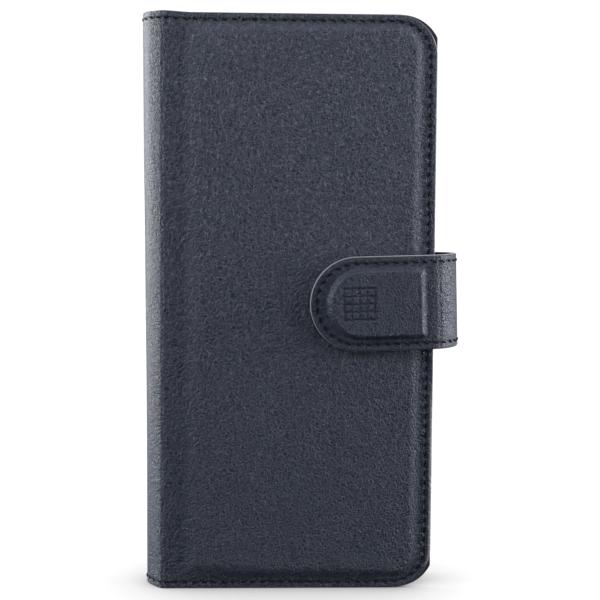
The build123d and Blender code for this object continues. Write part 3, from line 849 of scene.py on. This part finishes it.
flap = flap_grid()
front_part = ["flap_leather", "wrap_leather"]
strap_skin("flap_skin", -1, flap, flap_edge(*flap), flap_seam(*flap), front_part)
strip = strip_grid(-WRAP_HALF, STRAPS[1].s[-1])
strip_edge = HALF_W - np.abs(strip[1])
strip_seam = np.stack([strip[0] / WRAP_PITCH, strip_edge - SEAM, 0 * strip[0]], -1)
strap_skin("wrap_skin", 1, strip, strip_edge, strip_seam, ["wrap_leather", "strap_tab"])
strap_lining("flap_lining_skin", -1, flap_grid(2.0), ["flap_lining", "wrap_lining"])
strap_lining("wrap_lining_skin", 1, strip_grid(-WRAP_HALF, -1.0, 2.0), ["wrap_lining"])


# ---- Stitches ----
def stitches(name, where, counts, replaced=(), length=0.56, slant=0.6, wobble=0.03):
    """Thread from hole to hole, round and slightly slanted. where(t, aside, lift) gives places
    on a seam counted in stitches."""
    rings, sides = 11, 8
    counts = np.asarray(counts, float)[:, None]
    u = np.linspace(-0.5, 0.5, rings)[None, :]
    t = counts + u * length
    aside = slant * u + wobble * rng.standard_normal(counts.shape)
    lift = 0.02 - 0.6 * np.abs(2 * u) ** 5 + 0 * t
    centre = where(t, aside, lift)
    up = where(t, aside, lift + 0.1) - centre
    up /= np.linalg.norm(up, axis=-1)[..., None]
    forward = np.gradient(centre, axis=1)
    cross = np.cross(forward, up)
    cross /= np.linalg.norm(cross, axis=-1)[..., None]
    turns = np.linspace(0, 2 * math.pi, sides, endpoint=False)
    radius = THREAD_R * np.sqrt(1 - 0.75 * np.abs(2 * u) ** 8)[..., None, None]
    ring = cross[..., None, :] * np.cos(turns)[:, None] + up[..., None, :] * np.sin(turns)[:, None]
    points = (centre[..., None, :] + radius * ring).reshape(-1, 3)
    along = np.broadcast_to((counts + u)[..., None] * PITCH, (*t.shape, sides))
    angle = np.broadcast_to(turns, along.shape)
    grain = np.stack([along, angle, 0 * along], -1)
    each = rings * sides
    starts = range(0, len(points), each)
    ring_at = np.array(starts)[:, None, None] + np.arange(rings - 1)[:, None] * sides
    i = np.arange(sides)
    j = (i + 1) % sides
    quads = np.stack([ring_at + i, ring_at + j, ring_at + sides + j, ring_at + sides + i], -1)
    faces = quads.reshape(-1, 4).tolist()
    faces += [list(range(k, k + sides)) for k in starts]
    faces += [list(range(k + each - 1, k + each - sides - 1, -1)) for k in starts]
    obj = make_mesh(name, points, faces, [thread_look], None, {"grain": grain})
    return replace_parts(obj, *replaced) if replaced else obj


def beside(place):
    """Turns a seam's places into a function that also moves sideways across the seam."""

    def where(t, aside):
        s, z = place(t)
        s2, z2 = place(t + 0.02)
        ds, dz = s2 - s, z2 - z
        size = np.hypot(ds, dz)
        return s - dz / size * aside, z + ds / size * aside

    return where


cover_place, flap_place = beside(cover_seam_place), beside(flap_seam_place)


def cover_stitch(side):
    return lambda t, aside, lift: cover_at(side, *cover_place(t, aside), lift)


def flap_stitch(t, aside, lift):
    return strap_at(-1, *flap_place(t, aside), lift)


def spine_stitch(t, aside, lift):
    """t counts round the whole spine, and jumps to the upper end after its last stitch."""
    upper = t > SPINE_COUNT + JUMP / 2
    t = np.where(upper, t - SPINE_COUNT - JUMP, t)
    s = (t - SPINE_COUNT / 2) * SPINE_PITCH
    z = np.where(upper, HEIGHT - SEAM + aside, SEAM + aside)
    front = cover_at(-1, -SPINE_HALF - s, z, lift)
    rear = cover_at(1, -SPINE_HALF + s, z, lift)
    return np.where((s < 0)[..., None], front, rear)


def wrap_stitch(t, aside, lift):
    """t counts round the wrap's lower edge, then its upper edge."""
    upper = t > WRAP_COUNT + JUMP / 2
    t = np.where(upper, t - WRAP_COUNT - JUMP, t)
    s = (t - WRAP_COUNT / 2) * WRAP_PITCH
    w = np.where(upper, HALF_W - SEAM + aside, SEAM - HALF_W + aside)
    front = strap_at(-1, -WRAP_HALF - s, w, lift)
    rear = strap_at(1, -WRAP_HALF + s, w, lift)
    return np.where((s < 0)[..., None], front, rear)


def ends(count):
    """Counts of the stitches on the lower and the upper edge of an arch."""
    one = np.arange(count) + 0.5
    return np.concatenate([one, one + count + JUMP])


cover_counts = np.arange(SEAM_COUNT) + 0.5
for side, cover, end in ((-1, "front_cover", "front"), (1, "back_cover", "back")):
    obj = stitches(end + "_stitches", cover_stitch(side), cover_counts, [end + "_thread"], slant=-0.6)
    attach(obj, cover)
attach(stitches("spine_stitches", spine_stitch, ends(SPINE_COUNT), ["spine_thread"]), "spine")
flap_counts = np.arange(FLAP_COUNT) + 0.5
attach(stitches("flap_stitches", flap_stitch, flap_counts, ["flap_thread"]), "strap_flap")
obj = stitches("wrap_stitches", wrap_stitch, ends(WRAP_COUNT), ["wrap_thread"], slant=-0.6)
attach(obj, "strap_wrap")
for side, cover in ((-1, "front_cover"), (1, "back_cover")):
    for end, count in (("low", -0.5), ("high", SEAM_COUNT + 0.5)):
        name = f"{cover}_fold_stitch_{end}"
        bend_at_fold(stitches(name, cover_stitch(side), [count], length=0.75))


# ---- Pockets and padding ----
HEM = 2.25
POCKET_SHEET = 0.4
TURNED_EDGE = [0, 0.05, 0.12, 0.22, 0.36]  # distances from a pocket's rounded edge


def slab_grid(x0, x1, z0, z1, r, near_left, near_right):
    """A grid over a plate with rounded right-hand corners."""
    bend = x1 - r + r * np.sin(np.radians(np.arange(0, 91, 6))) if r > 0.5 else []
    columns = merged(
        x0 + np.asarray(near_left),
        x1 - np.asarray(near_right),
        spaced((x0 + max(near_left), x1 - max(near_right), 1.6)),
        bend,
    )
    low = r - np.sqrt(np.maximum(r**2 - np.clip(columns - (x1 - r), 0, r) ** 2, 0))
    insets = np.concatenate([[0, 0.04, 0.12, 0.22, 0.36], np.arange(0.6, 3.4, 0.16), [4.0]])
    share = np.linspace(0, 1, round((z1 - z0 - 8) / 1.6) + 1)[1:-1]
    lower = z0 + low[:, None] + insets
    upper = (z1 - low)[:, None] - insets[::-1]
    middle = lower[:, -1:] + share * (upper[:, :1] - lower[:, -1:])
    z = np.concatenate([lower, middle, upper], 1)
    return np.repeat(columns[:, None], z.shape[1], 1), z


def pocket(name, r):
    """A pocket sheet with a turned hem on three sides, a pressed line along its mouth and a
    stitched groove in its hem."""
    (x0, y0, z0), (x1, y1, z1) = cad_box_mm(name)
    mouth = [*TURNED_EDGE, 0.6, 0.9, 1.1, 1.25, 1.4, 1.55, 1.8, 2.2]
    hem = [*TURNED_EDGE, *np.arange(0.6, 3.4, 0.16)]
    x, z = slab_grid(x0, x1, z0, z1, r, mouth, hem)
    d = inside(x, z, x0, x1, z0, z1, 0.6, r)
    no_mouth = inside(x, z, x0 - 300, x1, z0, z1, 0, r)
    line = 0.1 * np.exp(-(((x - x0 - 1.3) / 0.16) ** 2))
    pressed = 0.12 * np.exp(-(((no_mouth - HEM / 2) / 0.35) ** 2))
    swell = 0.05 * smooth(2, 9, no_mouth) + waves(x + y0 * 9, z, 0.04) * smooth(0, 6, no_mouth)
    top = y1 - rounded(d, 0.2) * 0.8 - pressed - line - 0.05 + swell
    gap = y1 - POCKET_SHEET - 0.02
    under = gap + (y0 + 0.02 - gap) * smooth(HEM + 0.1, HEM - 0.1, no_mouth)
    place = np.stack([x + 17 * y0, z, 0 * x], -1)
    outer, inner = np.stack([x, top, z], -1), np.stack([x, under, z], -1)
    obj = sheet(name + "_sheet", outer, inner, place, [pocket_leather, edge_paint])
    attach(obj, "front_cover")
    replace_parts(obj, name)
    return {"x0": x0, "x1": x1, "z0": z0, "z1": z1, "y": y1, "r": r}


pockets = [pocket(f"card_pocket_{i}", 0.0) for i in (1, 2, 3)]
cash = pocket("cash_pocket", CORNER_R - 2.5)


def line_runs(runs):
    """Places on several straight or rounded seams joined end to end, each with its own run of
    counts."""

    def where(t, aside, lift):
        points = np.zeros((*t.shape, 3))
        for base, count, pitch, path, y in runs:
            mine = (t > base - 1) & (t < base + count + 1)
            d = (t - base) * pitch
            x, z, nx, nz = path(d)
            found = np.stack([x + nx * aside, y + lift + 0 * d, z + nz * aside], -1)
            points = np.where(mine[..., None], found, points)
        return points

    return where


def straight(x0, z0, x1, z1):
    """A straight seam: its length, and its places and sideways directions."""
    size = math.hypot(x1 - x0, z1 - z0)
    dx, dz = (x1 - x0) / size, (z1 - z0) / size
    return size, lambda d: (x0 + dx * d, z0 + dz * d, -dz, dx)


def hook(x0, x1, z, stop, r):
    """A seam along a cover's end, round its corner and a little way up its side."""
    up = 1 if stop > z else -1
    first, bend = x1 - r - x0, r * math.pi / 2

    def path(d):
        a = np.clip((d - first) / r, 0, math.pi / 2)
        rest = np.maximum(d - first - bend, 0)
        x = x0 + np.minimum(d, first) + r * np.sin(a)
        z_at = z + up * (r * (1 - np.cos(a)) + rest)
        return x, z_at, -up * np.sin(a), np.cos(a)

    return first + bend + abs(stop - z) - r, path


def pocket_seams():
    mouths = [p["x0"] for p in pockets] + [pockets[0]["x1"] - HEM / 2]
    low, high = pockets[0]["z0"] + HEM / 2, pockets[0]["z1"] - HEM / 2
    found = []
    for i, p in enumerate(pockets):
        for z in (low, high):
            found.append((*straight(mouths[i] + 0.5, z, mouths[i + 1] - 0.5, z), p["y"]))
    found.append((*straight(mouths[-1], low + 0.5, mouths[-1], high - 0.5), pockets[-1]["y"]))
    for z, stop in ((cash["z0"] + HEM / 2, low - 3), (cash["z1"] - HEM / 2, high + 3)):
        end = cash["x1"] - HEM / 2
        found.append((*hook(cash["x0"] + 0.5, end, z, stop, cash["r"] - HEM / 2), cash["y"]))
    runs, base = [], 0
    for size, path, y in found:
        count = max(1, round(size / PITCH))
        runs.append((base, count, size / count, path, y - 0.12))
        base += count + JUMP
    return runs


runs = pocket_seams()
counts = np.concatenate([base + np.arange(count) + 0.5 for base, count, *_ in runs])
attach(stitches("pocket_stitches", line_runs(runs), counts, ["pocket_thread"]), "front_cover")


def foam_pad():
    """The soft filling of the front panel, with rounded edges and a recess for the steel."""
    (x0, y0, z0), (x1, y1, z1) = cad_box_mm("front_foam")
    r = CORNER_R - 5.5
    near = [0, 0.1, 0.3, 0.6, 1.0, 1.5, 2.2, 3.0]
    x, z = slab_grid(x0, x1, z0, z1, r, near, near)
    d = inside(x, z, x0, x1, z0, z1, 1.0, r)
    low, high = cad_box_mm("catch_plate")
    plate = inside(x, z, low[0] - 0.4, high[0] + 0.4, low[2] - 0.4, high[2] + 0.4, 2, 2)
    outer = np.stack([x, y0 + rounded(d, 0.6) * 0.9 + 0.03, z], -1)
    depth = y1 - 0.02 - (y1 - low[1]) * smooth(-0.3, 0.1, plate)
    inner = np.stack([x, depth, z], -1)
    place = np.stack([x, z, 0 * x], -1)
    obj = sheet("foam_pad", outer, inner, place, [foam_look, foam_look])
    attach(obj, "front_cover")
    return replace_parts(obj, "front_foam")


foam_look = microfibre("foam_look", (0.35, 0.34, 0.31), (0.6, 0.58, 0.53))
foam_pad()


# ---- CAD parts shown as they are ----
def dress(nodes, *look, **more):
    """Gives CAD parts a procedural material, and leaves their shape alone."""
    material = solid_material(*look, **more)
    for node in nodes:
        slots = frame["nodes"][node].data.materials
        slots.clear()
        slots.append(material)


dress(
    ["phone_tray"], "tray_plastic", (0.008, 0.006, 0.006), (0.026, 0.021, 0.02), 4.0, depth=0.03
)
dress(
    ["power_key_cover", "volume_key_cover"],
    "key_plastic", (0.009, 0.007, 0.007), (0.03, 0.025, 0.024), 5.0, 0.42, depth=0.02,
)
dress(
    ["front_board", "back_board", "spine_stiffener"],
    "board", (0.16, 0.13, 0.1), (0.3, 0.26, 0.2), 2.5, 0.85, depth=0.08, stretch=(1, 1, 0.25),
)
dress(["tray_glue"], "glue_film", (0.42, 0.4, 0.34), (0.6, 0.58, 0.52), 1.5, 0.3)
dress(
    ["catch_plate"],
    "catch_steel", (0.42, 0.42, 0.43), (0.58, 0.58, 0.6), 6.0, 0.38, 1.0, 0.02, (0.08, 1, 1),
)
dress(["magnets"], "magnet_plating", (0.5, 0.49, 0.47), (0.68, 0.67, 0.65), 3.0, 0.3, 1.0, 0.01)
dress(["magnet_holder"], "holder_plastic", (0.05, 0.05, 0.055), (0.1, 0.1, 0.105), 5.0, 0.55)


# ---- Light, floor and camera ----
def softbox(name, place, aim, size, radiance, colour=(1, 1, 1)):
    """A rectangular light that faces a point. Places and sizes are in metres."""
    light = bpy.data.lights.new(name, "AREA")
    light.shape = "RECTANGLE"
    light.size, light.size_y = size
    light.energy = radiance * math.pi * size[0] * size[1]
    light.color = colour
    obj = bpy.data.objects.new(name, light)
    obj.location = place
    obj.rotation_euler = (Vector(aim) - Vector(place)).to_track_quat("-Z", "Y").to_euler()
    bpy.context.scene.collection.objects.link(obj)
    return obj


softbox("left_softbox", (-0.72, 0.08, 0.3), (-0.04, 0.0, 0.1), (1.25, 0.8), 8.7, (1, 0.98, 0.94))
softbox("right_softbox", (0.75, 0.03, 0.2), (0.04, 0.0, 0.09), (0.6, 0.7), 15.0, (1, 0.98, 0.95))
softbox("top_softbox", (0.05, -0.15, 0.5), (0.0, 0.0, 0.12), (0.5, 0.3), 2.2)
softbox("front_softbox", (0.6, -0.8, 0.75), (0.0, 0.0, 0.09), (0.6, 0.6), 3.3)


def studio_world():
    """White behind the object, and a dimmer surround to light it."""
    world = bpy.data.worlds.new("studio")
    world.use_nodes = True
    tree = world.node_tree
    tree.nodes.clear()
    out = tree.nodes.new("ShaderNodeOutputWorld")
    mix = tree.nodes.new("ShaderNodeMixShader")
    ray = tree.nodes.new("ShaderNodeLightPath")
    surround, white = (tree.nodes.new("ShaderNodeBackground") for _ in range(2))
    surround.inputs["Color"].default_value = (0.93, 0.96, 1.0, 1.0)
    surround.inputs["Strength"].default_value = 0.12
    white.inputs["Color"].default_value = (1, 1, 1, 1)
    white.inputs["Strength"].default_value = 1.05
    tree.links.new(ray.outputs["Is Camera Ray"], mix.inputs[0])
    tree.links.new(surround.outputs[0], mix.inputs[1])
    tree.links.new(white.outputs[0], mix.inputs[2])
    tree.links.new(mix.outputs[0], out.inputs[0])
    bpy.context.scene.world = world


def floor_material():
    """Pale floor that only keeps the soft shadow of what stands on it."""
    n = Nodes("floor")
    speck = n.noise(n.add("TexCoord", (), 3), 400.0, 2.0)
    open_sky = n.add("AmbientOcclusion", {"samples": 16}, 1, Distance=0.035)
    contact = n.add("AmbientOcclusion", {"samples": 16}, 1, Distance=0.007)
    strength = n.math("MULTIPLY_ADD", open_sky, 0.93, n.math("MULTIPLY_ADD", speck, 0.02, 0.02))
    strength = n.math("MULTIPLY_ADD", contact, 0.14, strength)
    glow = n.tree.nodes.new("ShaderNodeEmission")
    n.put(glow.inputs["Strength"], strength)
    surface = n.tree.nodes["Material Output"].inputs["Surface"]
    n.tree.links.new(glow.outputs[0], surface)
    return n.material


def floor():
    """A wide floor, just under the case's bottom edge."""
    reach, drop = 30000, -0.03
    corners = [(-reach, -reach), (reach, -reach), (reach, reach), (-reach, reach)]
    points = [(x, y, drop) for x, y in corners]
    obj = make_mesh("floor", points, [(0, 1, 2, 3)], [floor_material()])
    obj.visible_diffuse = False
    obj.visible_glossy = False


def camera():
    """Almost square on to the front cover, from a little above its middle."""
    lens = bpy.data.cameras.new("camera")
    lens.lens = 80.727
    lens.clip_start, lens.clip_end = 0.01, 100.0
    obj = bpy.data.objects.new("camera", lens)
    obj.location = at_mm(-16.274, -406.624, 118.323)
    obj.rotation_euler = Euler([math.radians(a) for a in (85.6051, -0.4083, -2.1716)])
    bpy.context.scene.collection.objects.link(obj)
    bpy.context.scene.camera = obj


studio_world()
floor()
camera()
bpy.context.scene.view_settings.view_transform = "Standard"
